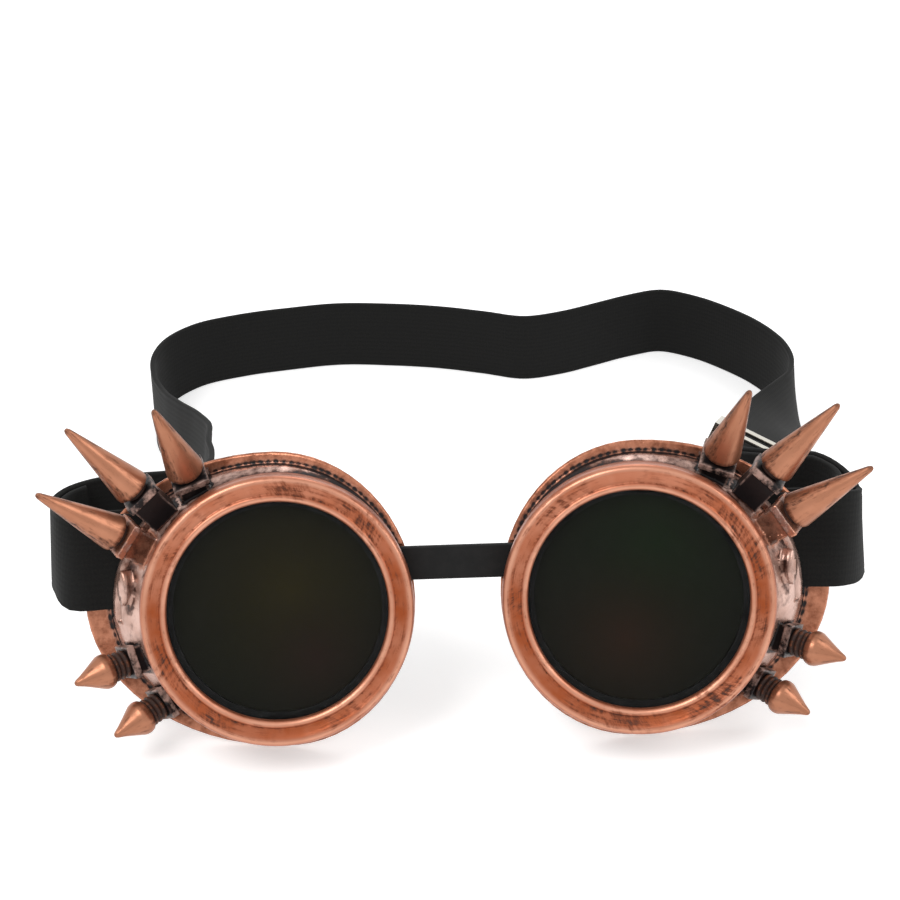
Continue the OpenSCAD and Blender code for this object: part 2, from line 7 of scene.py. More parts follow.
# %% Load the frame
import bpy, bmesh, json, math
from mathutils import Matrix, Vector, noise
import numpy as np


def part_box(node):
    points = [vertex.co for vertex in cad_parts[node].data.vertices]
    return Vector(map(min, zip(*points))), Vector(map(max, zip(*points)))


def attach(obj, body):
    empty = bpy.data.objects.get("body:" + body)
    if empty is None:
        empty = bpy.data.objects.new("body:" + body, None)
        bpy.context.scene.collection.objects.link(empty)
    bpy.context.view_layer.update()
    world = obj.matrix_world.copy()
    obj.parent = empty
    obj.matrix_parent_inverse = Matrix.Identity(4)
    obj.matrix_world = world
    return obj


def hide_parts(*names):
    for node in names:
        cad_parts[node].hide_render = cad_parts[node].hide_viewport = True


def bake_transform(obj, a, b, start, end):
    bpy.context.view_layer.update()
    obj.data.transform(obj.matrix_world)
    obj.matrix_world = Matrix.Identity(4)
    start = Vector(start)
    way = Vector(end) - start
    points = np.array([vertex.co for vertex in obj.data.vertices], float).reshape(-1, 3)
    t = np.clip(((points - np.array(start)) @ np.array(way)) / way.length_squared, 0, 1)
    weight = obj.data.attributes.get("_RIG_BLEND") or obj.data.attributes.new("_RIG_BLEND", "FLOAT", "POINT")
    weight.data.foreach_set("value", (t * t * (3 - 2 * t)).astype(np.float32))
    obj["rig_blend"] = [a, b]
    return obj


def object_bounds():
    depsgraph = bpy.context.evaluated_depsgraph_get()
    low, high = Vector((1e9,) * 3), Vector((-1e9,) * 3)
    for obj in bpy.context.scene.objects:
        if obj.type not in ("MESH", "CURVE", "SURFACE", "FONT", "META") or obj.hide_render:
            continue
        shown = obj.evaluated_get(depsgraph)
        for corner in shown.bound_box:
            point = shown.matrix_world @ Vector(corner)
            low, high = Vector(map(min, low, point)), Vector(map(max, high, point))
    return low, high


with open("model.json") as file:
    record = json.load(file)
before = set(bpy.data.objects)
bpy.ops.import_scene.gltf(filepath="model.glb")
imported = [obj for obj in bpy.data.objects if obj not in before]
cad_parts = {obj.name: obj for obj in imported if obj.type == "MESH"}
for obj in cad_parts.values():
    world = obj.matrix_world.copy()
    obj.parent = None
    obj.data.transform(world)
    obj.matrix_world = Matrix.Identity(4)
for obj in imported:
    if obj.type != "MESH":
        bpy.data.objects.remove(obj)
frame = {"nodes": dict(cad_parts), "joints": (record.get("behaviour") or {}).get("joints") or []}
nodes = frame["nodes"]
joints = {j["name"]: j for j in frame["joints"]}
cad_box = [list(corner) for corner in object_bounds()]
scene = bpy.context.scene
MM = 0.001
print("nodes", len(nodes), "CAD box", cad_box)

# %% [markdown]
# The photographer stood a little above the goggles. A camera in Blender is an
# object that looks along its own -Z, so its pose is a place and three
# directions. They are given here as a pitch and a small roll, and the focal
# length follows from how large the goggles stand in the square picture.

# %% Camera
camera_place = Vector((-4.7, -400.6, 241.3)) * MM
camera_pitch = math.radians(28.5)
camera_roll = math.radians(-1.87)
focal_length = 67.36

ahead = Vector((0, math.cos(camera_pitch), -math.sin(camera_pitch)))
level_right = Vector((1, 0, 0))
level_up = level_right.cross(ahead)
right = math.cos(camera_roll) * level_right + math.sin(camera_roll) * level_up
up = right.cross(ahead)

camera = bpy.data.objects.new("camera", bpy.data.cameras.new("camera"))
scene.collection.objects.link(camera)
camera.data.lens = focal_length
camera.data.sensor_width = 36
looking = Matrix((right, up, -ahead)).transposed().to_4x4()
camera.matrix_world = Matrix.Translation(camera_place) @ looking
scene.camera = camera
scene.view_settings.view_transform = "Standard"
print("camera looks along", [round(v, 3) for v in ahead])

# %% [markdown]
# A shop photograph has light from all sides, and the world gives most of it. In
# the picture it has to be pure white, straight on and also mirrored in the metal,
# but at that strength it would wash out the lamps. A Light Path node tells what
# is seen from what only lights things, so the two can have their own levels.

# %% World
def link(tree, source, target):
    tree.links.new(source, target)


def add_node(tree, kind, **inputs):
    node = tree.nodes.new(kind)
    for name, value in inputs.items():
        node.inputs[name.replace("_", " ")].default_value = value
    return node


def seen_directly(tree):
    """1 for what is seen, also in metal and through glass, and 0 for the light that falls on things."""
    path = tree.nodes.new("ShaderNodeLightPath")
    total = path.outputs["Is Camera Ray"]
    for kind in ("Is Glossy Ray", "Is Transmission Ray"):
        either = tree.nodes.new("ShaderNodeMath")
        either.operation = "MAXIMUM"
        link(tree, total, either.inputs[0])
        link(tree, path.outputs[kind], either.inputs[1])
        total = either.outputs[0]
    return total


white = (1, 1, 1, 1)
sky_level = 0.62
world = bpy.data.worlds.new("studio")
scene.world = world
world.use_nodes = True
sky = world.node_tree
sky.nodes.clear()
sky_light = add_node(sky, "ShaderNodeBackground", Color=white, Strength=sky_level)
sky_seen = add_node(sky, "ShaderNodeBackground", Color=white, Strength=1.0)
sky_mix = sky.nodes.new("ShaderNodeMixShader")
sky_out = sky.nodes.new("ShaderNodeOutputWorld")
link(sky, seen_directly(sky), sky_mix.inputs[0])
link(sky, sky_light.outputs[0], sky_mix.inputs[1])
link(sky, sky_seen.outputs[0], sky_mix.inputs[2])
link(sky, sky_mix.outputs[0], sky_out.inputs[0])
print("world nodes", len(sky.nodes))

# %% [markdown]
# Three large soft lamps stand above the table. The first gives the metal its
# bright side, the second fills in from the right, and the third lightens the
# strap's far run. A lamp shines along its own -Z, so it is turned towards its aim.

# %% Lamps
def soft_lamp(name, place, aim, size, power):
    data = bpy.data.lights.new(name, "AREA")
    data.shape = "DISK"
    data.size = size
    data.energy = power
    lamp = bpy.data.objects.new(name, data)
    scene.collection.objects.link(lamp)
    lamp.location = place
    lamp.rotation_mode = "QUATERNION"
    lamp.rotation_quaternion = (Vector(aim) - Vector(place)).to_track_quat("-Z", "Y")
    print(name, "watts", power)


between_cups = (0, -0.05, 0.03)
inside_strap = (0, 0, 0.03)
soft_lamp("key_lamp", (-0.35, -0.45, 0.75), between_cups, 0.45, 3.2)
soft_lamp("fill_lamp", (0.6, -0.3, 0.5), between_cups, 0.5, 1.6)
soft_lamp("back_lamp", (0.1, 0.8, 0.7), inside_strap, 0.5, 1.6)

# %% [markdown]
# The floor is white paper at the height where the goggles stand. It glows a
# little where it is seen, so that it comes out as white as the world around it
# and still shows the soft shadows.

# %% Floor
floor_half = 4
floor_glow = 0.42
floor_mesh = bpy.data.meshes.new("floor")
bm = bmesh.new()
bmesh.ops.create_grid(bm, x_segments=1, y_segments=1, size=floor_half)
bm.to_mesh(floor_mesh)
bm.free()
floor = bpy.data.objects.new("floor", floor_mesh)
scene.collection.objects.link(floor)
floor.location.z = cad_box[0][2]

paper = bpy.data.materials.new("paper")
paper.use_nodes = True
tree = paper.node_tree
plain = tree.nodes["Principled BSDF"]
plain.inputs["Base Color"].default_value = (0.93, 0.93, 0.93, 1)
plain.inputs["Roughness"].default_value = 0.9
glow = add_node(tree, "ShaderNodeEmission", Color=white, Strength=floor_glow)
both = tree.nodes.new("ShaderNodeAddShader")
chosen = tree.nodes.new("ShaderNodeMixShader")
link(tree, plain.outputs[0], both.inputs[0])
link(tree, glow.outputs[0], both.inputs[1])
link(tree, seen_directly(tree), chosen.inputs[0])
link(tree, plain.outputs[0], chosen.inputs[1])
link(tree, both.outputs[0], chosen.inputs[2])
link(tree, chosen.outputs[0], tree.nodes["Material Output"].inputs[0])
floor_mesh.materials.append(paper)
print("floor at", round(floor.location.z, 5))

# %% [markdown]
# Each cup has its own directions: forward along the lens axis, up, and outward
# to the temple. The CAD's joints hold them: a ring turns about the lens axis,
# and the bridge bends about the cups' common upward line. With these three
# directions a piece can be modelled lying flat and then set in its cup.

# %% Directions of the two cups
cup_up = Vector(joints["bridge_flex"]["axis"])
SIDES = ("left", "right")
cup_place = {}
for side in SIDES:
    turn = joints[side + "_ring_turn"]
    forward = Vector(turn["axis"]).normalized()
    to_right = cup_up.cross(forward).normalized()
    true_up = forward.cross(to_right)
    pose = Matrix((to_right, true_up, forward)).transposed().to_4x4()
    cup_place[side] = Matrix.Translation(Vector(turn["pos_m"])) @ pose
    print(side, "lens axis", [round(v, 3) for v in forward])


# %% [markdown]
# Materials are small graphs of nodes. Colours are written as the eye sees them,
# in eight-bit steps, and turned into the linear values that a renderer adds up.

# %% Colour and node helpers
def colour(r, g, b):
    linear = [((c / 255 + 0.055) / 1.055) ** 2.4 if c > 10 else c / 255 / 12.92 for c in (r, g, b)]
    return (*linear, 1)


def new_material(name, base, roughness, metallic=0.0, specular=0.5):
    material = bpy.data.materials.new(name)
    material.use_nodes = True
    shader = material.node_tree.nodes["Principled BSDF"]
    shader.inputs["Base Color"].default_value = base
    shader.inputs["Roughness"].default_value = roughness
    shader.inputs["Metallic"].default_value = metallic
    shader.inputs["Specular IOR Level"].default_value = specular
    material.diffuse_color = base
    return material, material.node_tree, shader


def feed(tree, socket, value):
    """Gives an input a value, or links it to the output that makes one."""
    if isinstance(value, bpy.types.NodeSocket):
        link(tree, value, socket)
    else:
        socket.default_value = value


def mix_colours(tree, amount, first, second):
    node = tree.nodes.new("ShaderNodeMix")
    node.data_type = "RGBA"
    for k, value in ((0, amount), (6, first), (7, second)):
        feed(tree, node.inputs[k], value)
    return node.outputs[2]


def maths(tree, operation, first, second=0.0, clamp=False):
    node = tree.nodes.new("ShaderNodeMath")
    node.operation = operation
    node.use_clamp = clamp
    feed(tree, node.inputs[0], first)
    feed(tree, node.inputs[1], second)
    return node.outputs[0]


def times(tree, first, second, clamp=False):
    return maths(tree, "MULTIPLY", first, second, clamp)


def plus(tree, first, second, clamp=False):
    return maths(tree, "ADD", first, second, clamp)


def ramp(tree, value, low, high):
    """0 below the low value, 1 above the high one."""
    node = tree.nodes.new("ShaderNodeMapRange")
    node.inputs["From Min"].default_value = low
    node.inputs["From Max"].default_value = high
    link(tree, value, node.inputs["Value"])
    return node.outputs[0]


def own_place(tree):
    return tree.nodes.new("ShaderNodeTexCoord").outputs["Object"]


def stretched(tree, coordinates, scale, turn=(0, 0, 0)):
    node = tree.nodes.new("ShaderNodeMapping")
    node.inputs["Scale"].default_value = scale
    node.inputs["Rotation"].default_value = turn
    link(tree, coordinates, node.inputs["Vector"])
    return node.outputs[0]


def noise_at(tree, coordinates, scale, detail, roughness):
    node = add_node(tree, "ShaderNodeTexNoise", Scale=scale, Detail=detail, Roughness=roughness)
    link(tree, coordinates, node.inputs["Vector"])
    return node.outputs["Fac"]


def bumped(tree, shader, height, strength, distance):
    node = add_node(tree, "ShaderNodeBump", Strength=strength, Distance=distance)
    link(tree, height, node.inputs["Height"])
    link(tree, node.outputs[0], shader.inputs["Normal"])


def attribute(tree, name):
    node = tree.nodes.new("ShaderNodeAttribute")
    node.attribute_name = name
    return node.outputs["Fac"]


# %% [markdown]
# Aged copper is moulded plastic with a thin copper plating, and brown paint that
# was brushed on and wiped off again. The paint stays in hollows and in short dry
# strokes, and the wiped ridges come out paler than the rest. So the material has
# four layers: a metal tone between dull and bright, soft brown strokes, darker
# paint where there is most of it, and a few specks. Two attributes on the mesh
# steer it at each point: one says how far the plating was polished, with any
# painted highlight added, and the other how much paint is left, with any painted
# shade added.

# %% Aged copper
def contrast(tree, value, gain):
    """A pattern spread out about its middle value."""
    return times(tree, maths(tree, "SUBTRACT", value, 0.5), gain)


def seamless_noise(tree, scale, detail, roughness, slant=0.0):
    """Noise on a turned piece, read from two maps whose seams lie opposite each other."""
    values = []
    for map_name in ("surface", "surface_turned"):
        where = tree.nodes.new("ShaderNodeUVMap")
        where.uv_map = map_name
        slanted = stretched(tree, where.outputs[0], (1, 1, 1), turn=(0, 0, slant))
        values.append(noise_at(tree, stretched(tree, slanted, scale), 1.0, detail, roughness))
    node = tree.nodes.new("ShaderNodeMix")
    node.data_type = "FLOAT"
    for k, value in ((0, attribute(tree, "turned")), (2, values[0]), (3, values[1])):
        feed(tree, node.inputs[k], value)
    return node.outputs[0]


def paint_gloss(tree, shader, soft, hard, soft_share, bare_roughness, paint_roughness, metallic):
    """Paint takes the metal away and leaves a rougher surface. Returns how far a point is covered."""
    covered = maths(tree, "MAXIMUM", times(tree, soft, soft_share), hard, True)
    roughness = plus(tree, times(tree, covered, paint_roughness), bare_roughness)
    bare = maths(tree, "SUBTRACT", 1.0, covered)
    link(tree, roughness, shader.inputs["Roughness"])
    link(tree, times(tree, bare, metallic), shader.inputs["Metallic"])
    return covered


def aged_copper(name, bright, dull, paint, grain, hatch, hatch_slant):
    material, tree, shader = new_material(name, bright, 0.33, 0.7, 0.3)
    paint_and_shade = attribute(tree, "paint_and_shade")
    polish_and_highlight = attribute(tree, "polish_and_highlight")
    strokes = seamless_noise(tree, grain, 5.0, 0.68)
    hatching = seamless_noise(tree, hatch, 4.0, 0.65, hatch_slant)
    patches = seamless_noise(tree, (300, 300, 1), 4.0, 0.62)
    cloudy = seamless_noise(tree, (90, 90, 1), 3.0, 0.55)
    specks = seamless_noise(tree, (1500, 1500, 1), 2.0, 0.6)
    polished = plus(tree, polish_and_highlight, contrast(tree, cloudy, 1.2), True)
    tone = mix_colours(tree, polished, dull, bright)
    # Strokes and patches decide where paint is. The paint and shade attribute adds hatching and more paint,
    # and the polish and highlight one takes some off.
    amount = plus(tree, contrast(tree, strokes, 1.5), contrast(tree, patches, 1.1))
    hatched = times(tree, ramp(tree, paint_and_shade, 0.15, 0.5), contrast(tree, hatching, 1.7))
    amount = plus(tree, amount, hatched)
    amount = plus(tree, amount, times(tree, paint_and_shade, 0.45))
    amount = maths(tree, "SUBTRACT", amount, times(tree, polish_and_highlight, 0.10))
    soft = ramp(tree, amount, 0.06, 0.42)
    hard = ramp(tree, amount, 0.32, 0.64)
    brown = mix_colours(tree, 0.45, dull, paint)
    tone = mix_colours(tree, soft, tone, brown)
    tone = mix_colours(tree, hard, tone, paint)
    tiny = times(tree, ramp(tree, specks, 0.66, 0.74), 0.4)
    tone = mix_colours(tree, tiny, tone, brown)
    link(tree, tone, shader.inputs["Base Color"])
    covered = paint_gloss(tree, shader, soft, hard, 0.5, 0.33, 0.30, 0.7)
    raised, sunk = times(tree, patches, 0.7), times(tree, covered, 0.6)
    bumped(tree, shader, maths(tree, "SUBTRACT", raised, sunk), 0.35, 0.0004)
    return material


ring_copper = aged_copper(
    "aged_copper_ring", bright=colour(206, 148, 122), dull=colour(150, 72, 36), paint=colour(56, 33, 24),
    grain=(90, 1300, 1), hatch=(1100, 260, 1), hatch_slant=0.6)
spike_copper = aged_copper(
    "aged_copper_spike", bright=colour(194, 135, 106), dull=colour(130, 78, 52), paint=colour(54, 36, 30),
    grain=(800, 100, 1), hatch=(500, 300, 1), hatch_slant=0.3)
print("copper materials", ring_copper.name, spike_copper.name)


# %% [markdown]
# The cups carry the same plating in another mood. Their wall is a greyish pink
# with a wet gloss, the rear flange is a plain copper band, and the blocks under
# the spikes are almost black, with a painted highlight only along their edges.
# Their triangles carry no map, so the pattern reads Object coordinates. Beside
# the attribute for paint and painted shade, warm says how coppery a point is,
# and edge says where a highlight is painted.

# %% Plating of the cups
def cup_plating_and_light(name):
    material, tree, shader = new_material(name, colour(170, 128, 112), 0.3, 0.6, 0.25)
    where = own_place(tree)
    paint_and_shade = attribute(tree, "paint_and_shade")
    warm = attribute(tree, "warm")
    edge = attribute(tree, "edge")
    cloudy = noise_at(tree, where, 110, 3.0, 0.6)
    fine = noise_at(tree, where, 420, 4.0, 0.65)
    drips = noise_at(tree, stretched(tree, where, (700, 700, 90)), 1.0, 4.0, 0.6)
    wall_cloud, band_cloud = ramp(tree, cloudy, 0.38, 0.66), ramp(tree, fine, 0.40, 0.66)
    wall_tone = mix_colours(tree, wall_cloud, colour(216, 184, 172), colour(152, 118, 104))
    band_tone = mix_colours(tree, band_cloud, colour(192, 128, 100), colour(138, 82, 58))
    tone = mix_colours(tree, warm, wall_tone, band_tone)
    amount = plus(tree, times(tree, fine, 0.55), times(tree, drips, 0.45))
    amount = plus(tree, amount, times(tree, paint_and_shade, 0.62))
    soft = ramp(tree, amount, 0.62, 0.84)
    hard = ramp(tree, amount, 0.82, 0.94)
    tone = mix_colours(tree, soft, tone, colour(84, 54, 44))
    tone = mix_colours(tree, hard, tone, colour(24, 20, 21))
    # Painted highlight: where edge is set, the colour is lightened towards a pale pink, as light catching an
    # edge would.
    painted_edge_highlight = times(tree, edge, ramp(tree, fine, 0.40, 0.60), True)
    tone = mix_colours(tree, painted_edge_highlight, tone, colour(182, 150, 138))
    link(tree, tone, shader.inputs["Base Color"])
    paint_gloss(tree, shader, soft, hard, 0.4, 0.26, 0.12, 0.6)
    height = plus(tree, times(tree, fine, 0.6), times(tree, cloudy, 0.4))
    bumped(tree, shader, height, 0.35, 0.0005)
    return material


cup_copper = cup_plating_and_light("aged_copper_cup_and_light")
print("plating nodes", len(cup_copper.node_tree.nodes))

# %% [markdown]
# The dark lens is almost black, with a faint warm or green painted reflection in
# two places of each glass. A reflection's place is given in its cup's own
# directions, with its reach in millimetres. The clear lens before it shows only
# as gloss. Rubber and nickel wire are plainer.

# %% Glass, rubber and wire
painted_glass_reflections = {
    "left": (((3, 4), 34, (38, 33, 15)), ((8, -11), 20, (34, 23, 18))),
    "right": (((4, 12), 34, (20, 29, 15)), ((-3, -9), 24, (40, 26, 18))),
}
glass_tone = colour(20, 20, 14)
glass_depth = 4


def dark_glass(name, side):
    material, tree, shader = new_material(name, glass_tone, 0.05, specular=0.06)
    where = own_place(tree)
    tone = glass_tone
    # Painted reflections: near each place the glass takes on the reflection's tone.
    for (x, y), reach, reflection_tone in painted_glass_reflections[side]:
        distance = tree.nodes.new("ShaderNodeVectorMath")
        distance.operation = "DISTANCE"
        link(tree, where, distance.inputs[0])
        distance.inputs[1].default_value = cup_place[side] @ (Vector((x, y, -glass_depth)) * MM)
        near = ramp(tree, distance.outputs["Value"], reach * MM, 0.0)
        tone = mix_colours(tree, times(tree, near, near), tone, colour(*reflection_tone))
    link(tree, tone, shader.inputs["Base Color"])
    return material


def clear_cover(name):
    material = bpy.data.materials.new(name)
    material.use_nodes = True
    tree = material.node_tree
    tree.nodes.remove(tree.nodes["Principled BSDF"])
    through = add_node(tree, "ShaderNodeBsdfTransparent", Color=(0.97, 0.98, 0.98, 1))
    gloss = add_node(tree, "ShaderNodeBsdfGlossy", Color=white, Roughness=0.03)
    fresnel = add_node(tree, "ShaderNodeFresnel", IOR=1.08)
    mixed = tree.nodes.new("ShaderNodeMixShader")
    link(tree, fresnel.outputs[0], mixed.inputs[0])
    link(tree, through.outputs[0], mixed.inputs[1])
    link(tree, gloss.outputs[0], mixed.inputs[2])
    link(tree, mixed.outputs[0], tree.nodes["Material Output"].inputs[0])
    return material


def moulded_rubber(name, dark, pale, roughness):
    material, tree, shader = new_material(name, dark, roughness, specular=0.2)
    where = own_place(tree)
    grain = noise_at(tree, where, 2600, 3.0, 0.6)
    worn = noise_at(tree, where, 260, 3.0, 0.6)
    link(tree, mix_colours(tree, ramp(tree, worn, 0.42, 0.68), dark, pale), shader.inputs["Base Color"])
    bumped(tree, shader, grain, 0.2, 0.0002)
    return material


black_rubber = moulded_rubber("bridge_rubber", colour(13, 13, 13), colour(22, 21, 21), 0.5)
gasket_rubber = moulded_rubber("gasket_rubber", colour(22, 22, 22), colour(30, 30, 30), 0.7)
nickel = new_material("bright_nickel", colour(222, 218, 208), 0.16, 1.0)[0]
clear_glass = clear_cover("clear_cover_glass")
print("plain materials", black_rubber.name, gasket_rubber.name, nickel.name, clear_glass.name)

# %% [markdown]
# Elastic webbing is knitted in rows along its length, with a firm edge on each
# side. Fine ribs run along the strap and a much finer weft crosses them. Both
# follow the strap wherever it bends, so they read the strap's own UV map, which
# is in metres: first across the strap, then along it.

# %% Webbing
rib_pitch = 0.0014
weft_pitch = 0.0010


def webbing_material(name):
    material, tree, shader = new_material(name, colour(34, 34, 34), 0.82, specular=0.15)
    where = tree.nodes.new("ShaderNodeUVMap")
    where.uv_map = "surface"
    split = tree.nodes.new("ShaderNodeSeparateXYZ")
    link(tree, where.outputs[0], split.inputs[0])
    across, along = split.outputs["X"], split.outputs["Y"]
    rib = maths(tree, "SINE", times(tree, across, 2 * math.pi / rib_pitch))
    weft = maths(tree, "SINE", times(tree, along, 2 * math.pi / weft_pitch))
    fuzz = noise_at(tree, where.outputs[0], 2500, 2.0, 0.6)
    pale = plus(tree, times(tree, rib, 0.05), fuzz)
    tone = mix_colours(tree, ramp(tree, pale, 0.3, 0.7), colour(17, 17, 17), colour(27, 27, 26))
    link(tree, tone, shader.inputs["Base Color"])
    height = plus(tree, rib, times(tree, weft, 0.5))
    bumped(tree, shader, height, 0.15, 0.0001)
    shader.inputs["Sheen Weight"].default_value = 0.04
    shader.inputs["Sheen Roughness"].default_value = 0.5
    return material


webbing = webbing_material("elastic_webbing")
print("webbing ribs in a centimetre", round(0.01 / rib_pitch))


# %% [markdown]
# Nothing that is moulded and plated has a razor edge. A profile is given by its
# corners, and each one is replaced by a short curve that starts and ends on the
# two lines that meet there. A finished mesh keeps only its steep edges sharp.

# %% Rounded profiles
def rounded(profile, radius, steps=3):
    """The same profile with its inner corners rounded, as (radius, height) points."""
    result = [profile[0]]
    for before, corner, after in zip(profile, profile[1:], profile[2:]):
        a, b, c = Vector(before), Vector(corner), Vector(after)
        reach = min(radius, (a - b).length * 0.45, (c - b).length * 0.45)
        start = b + (a - b).normalized() * reach
        end = b + (c - b).normalized() * reach
        for k in range(steps + 1):
            t = k / steps
            result.append(tuple(start * (1 - t) ** 2 + b * 2 * t * (1 - t) + end * t ** 2))
    result.append(profile[-1])
    return result


def finish_mesh(bm, name, crease=38):
    mesh = bpy.data.meshes.new(name)
    bm.to_mesh(mesh)
    bm.free()
    mesh.set_sharp_from_angle(angle=math.radians(crease))
    piece = bpy.data.objects.new(name, mesh)
    scene.collection.objects.link(piece)
    return piece


def bell(value, middle, width):
    """1 at the middle value, falling smoothly to 0 on both sides."""
    return math.exp(-(((value - middle) / width) ** 2))


print("a right angle rounded", len(rounded([(0, 0), (10, 0), (10, 10)], 0.3)), "points")


# %% [markdown]
# A turned piece is a profile spun round an axis. The spin operator copies the
# profile in even steps. A layer on the profile's points remembers how far along
# it each point lies, and together with the angle this gives a map in metres, so
# that brush strokes keep their real size on a big ring and on a small spike. The
# map has a seam where the turn closes. A second map has its seam on the opposite
# side, and a layer named turned says at each point which map to trust.

# %% Turned pieces
def turn_maps(bm, widest):
    for map_name, sign in (("surface", 1), ("surface_turned", -1)):
        uv = bm.loops.layers.uv.new(map_name)
        for face in bm.faces:
            middle = face.calc_center_median()
            face_angle = math.atan2(sign * middle.y, sign * middle.x)
            for corner in face.loops:
                co = corner.vert.co
                angle = math.atan2(sign * co.y, sign * co.x) if co.xy.length > 1e-6 else face_angle
                angle -= 2 * math.pi * round((angle - face_angle) / (2 * math.pi))
                corner[uv].uv = (angle * widest, corner.vert[bm.verts.layers.float["along"]])


def turned_piece(name, profile, steps, place, wear_and_light, closed=False):
    """The wear function gives, at a point in mm, its paint with any painted shade and its polish with any
    painted highlight.
    """
    bm = bmesh.new()
    along_layer = bm.verts.layers.float.new("along")
    points = []
    length = 0.0
    for i, (radius, height) in enumerate(profile):
        if i:
            length += math.dist(profile[i], profile[i - 1])
        vert = bm.verts.new((radius * MM, 0, height * MM))
        vert[along_layer] = length * MM
        points.append(vert)
    edges = [bm.edges.new(pair) for pair in zip(points, points[1:])]
    if closed:
        edges.append(bm.edges.new((points[-1], points[0])))
    full_turn = {"cent": (0, 0, 0), "axis": (0, 0, 1), "angle": 2 * math.pi, "steps": steps}
    bmesh.ops.spin(bm, geom=points + edges, use_merge=True, **full_turn)
    bmesh.ops.remove_doubles(bm, verts=bm.verts, dist=1e-6)
    bmesh.ops.recalc_face_normals(bm, faces=bm.faces)
    turn_maps(bm, max(radius for radius, height in profile) * MM)
    for face in bm.faces:
        face.smooth = True
    layers = [bm.verts.layers.float.new(layer_name) for layer_name in ("paint_and_shade", "polish_and_highlight", "turned")]
    for vert in bm.verts:
        away = abs(math.atan2(vert.co.y, vert.co.x)) / math.pi
        values = (*wear_and_light(vert.co / MM), min(max(away * 3 - 1, 0), 1))
        for layer, value in zip(layers, values):
            vert[layer] = value
    bmesh.ops.transform(bm, matrix=place, verts=bm.verts)
    return finish_mesh(bm, name)


def stand_for(piece, node, body, material):
    """The piece takes the place of a CAD node, moves with a body and gets its finish."""
    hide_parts(node)
    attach(piece, body)
    piece.data.materials.append(material)


# %% [markdown]
# The retaining ring is one turned part: a light inner lip at the opening, a
# broad face that slopes inward, a rounded ridge and a plain skirt. The ridge and
# the lip are wiped bright, and the sloping face between them keeps the brown.
# The photograph shows where more paint was left. These places are given as
# angles from the viewer's right, turning upward, with a width and a strength.

# %% Retaining rings
ring_outer = 29.8
ring_bore = 26.88
ring_opening = 24.0
ring_depth = 8.4
seat_depth = 2.2
lip_radius = 24.7
groove_radius = 25.7
slope_radius = 27.0
ridge_radius = 28.75
painted_highlight_angle = 100
ring_profile = [
    (ring_opening, -seat_depth), (ring_opening, -1.0), (24.4, -0.5), (25.0, -0.3), (25.4, -0.45),
    (groove_radius, -0.75), (26.2, -0.7), (27.2, -0.4), (28.1, -0.05), (28.7, 0), (29.3, -0.3),
    (29.65, -1.0), (ring_outer, -2.2), (ring_outer, -5.0), (ring_outer, -8.0), (29.4, -ring_depth),
    (ring_bore, -ring_depth), (ring_bore, -seat_depth)]
painted_places = {
    "left": (
        (44, 14, 0.85), (84, 16, 0.75), (150, 12, 0.45), (205, 14, 0.8), (235, 14, 0.6), (300, 18, 0.4)),
    "right": (
        (30, 26, 0.8), (350, 12, 0.5), (262, 22, 0.8), (308, 16, 0.9), (130, 18, 0.5), (180, 12, 0.6)),
}


def angle_away(angle, middle):
    """How far two directions lie apart in degrees, from -180 to 180."""
    return (angle - middle + 180) % 360 - 180


def ring_wear_and_light(side):
    def wear_and_light(co):
        angle = math.degrees(math.atan2(co.y, co.x)) % 360
        painted = 0.12
        for middle, width, strength in painted_places[side]:
            painted = max(painted, strength * bell(angle_away(angle, middle), 0, width))
        radius = math.hypot(co.x, co.y)
        if co.z < -2.0:
            # Painted shade: the skirt darkens towards its rear edge, where it meets the cup.
            rear = max(0.0, (-co.z - 6.0) / 2)
            return min(1.0, painted * 0.6 + 0.25 + rear), 0.35
        lip = bell(radius, lip_radius, 0.6)
        ridge = bell(radius, ridge_radius, 0.75)
        groove = bell(radius, groove_radius, 0.25)
        slope = bell(radius, slope_radius, 1.0)
        # Painted highlight: the ring's upper side is made paler, as if lit from above.
        painted_top_highlight = 0.25 * bell(angle_away(angle, painted_highlight_angle), 0, 55)
        polish_and_highlight = min(1.0, max(0.9 * lip, 0.85 * ridge, 0.12 + painted_top_highlight))
        return min(1.0, painted * (0.4 + 0.6 * slope) + 0.45 * groove), polish_and_highlight
    return wear_and_light


ring_steps = 192
soft_profile = rounded(ring_profile, 0.3)
for side in SIDES:
    name = side + "_copper_ring"
    ring = turned_piece(name, soft_profile, ring_steps, cup_place[side], ring_wear_and_light(side), closed=True)
    stand_for(ring, side + "_retaining_ring", side + "_ring", ring_copper)
    print(name, "faces", len(ring.data.polygons))

# %% [markdown]
# Spikes and studs are turned as well. Each sits on a block of the cup: its
# place is given as the CAD gives it, by how far its rim's middle lies outside the
# ring, in which direction and how far behind the ring's front, and then by the
# way it points in the cup's plane and how far it leans forward. A left cup is
# the mirror image of a right one.

# %% Seats of the spikes and studs
seats = {
    "spike_top": (6.3, 58, 12, 70, 43.5),
    "spike_middle": (11, 41.4, 12, 47.5, 23),
    "spike_side": (9.2, 26.4, 12, 33.9, 28),
    "stud_upper": (10.1, -19.5, 14, -15.5, 28),
    "stud_lower": (8.8, -38.3, 14, -27.5, 31),
}


def seat_pose(part, outward):
    """Pose of a seat in its cup, in millimetres: z runs out of the spike's tip."""
    outside, way, depth, turn, lean = seats[part]
    way, turn, lean = math.radians(way), math.radians(turn), math.radians(lean)
    reach = ring_outer + outside
    middle = Vector((outward * reach * math.cos(way), reach * math.sin(way), -depth))
    flat = math.cos(lean)
    points_to = Vector((outward * flat * math.cos(turn), flat * math.sin(turn), math.sin(lean)))
    return Matrix.Translation(middle) @ points_to.to_track_quat("Z", "Y").to_matrix().to_4x4()


def in_metres(pose):
    result = pose.copy()
    result.translation = pose.translation * MM
    return result


print("seats on each cup", list(seats))
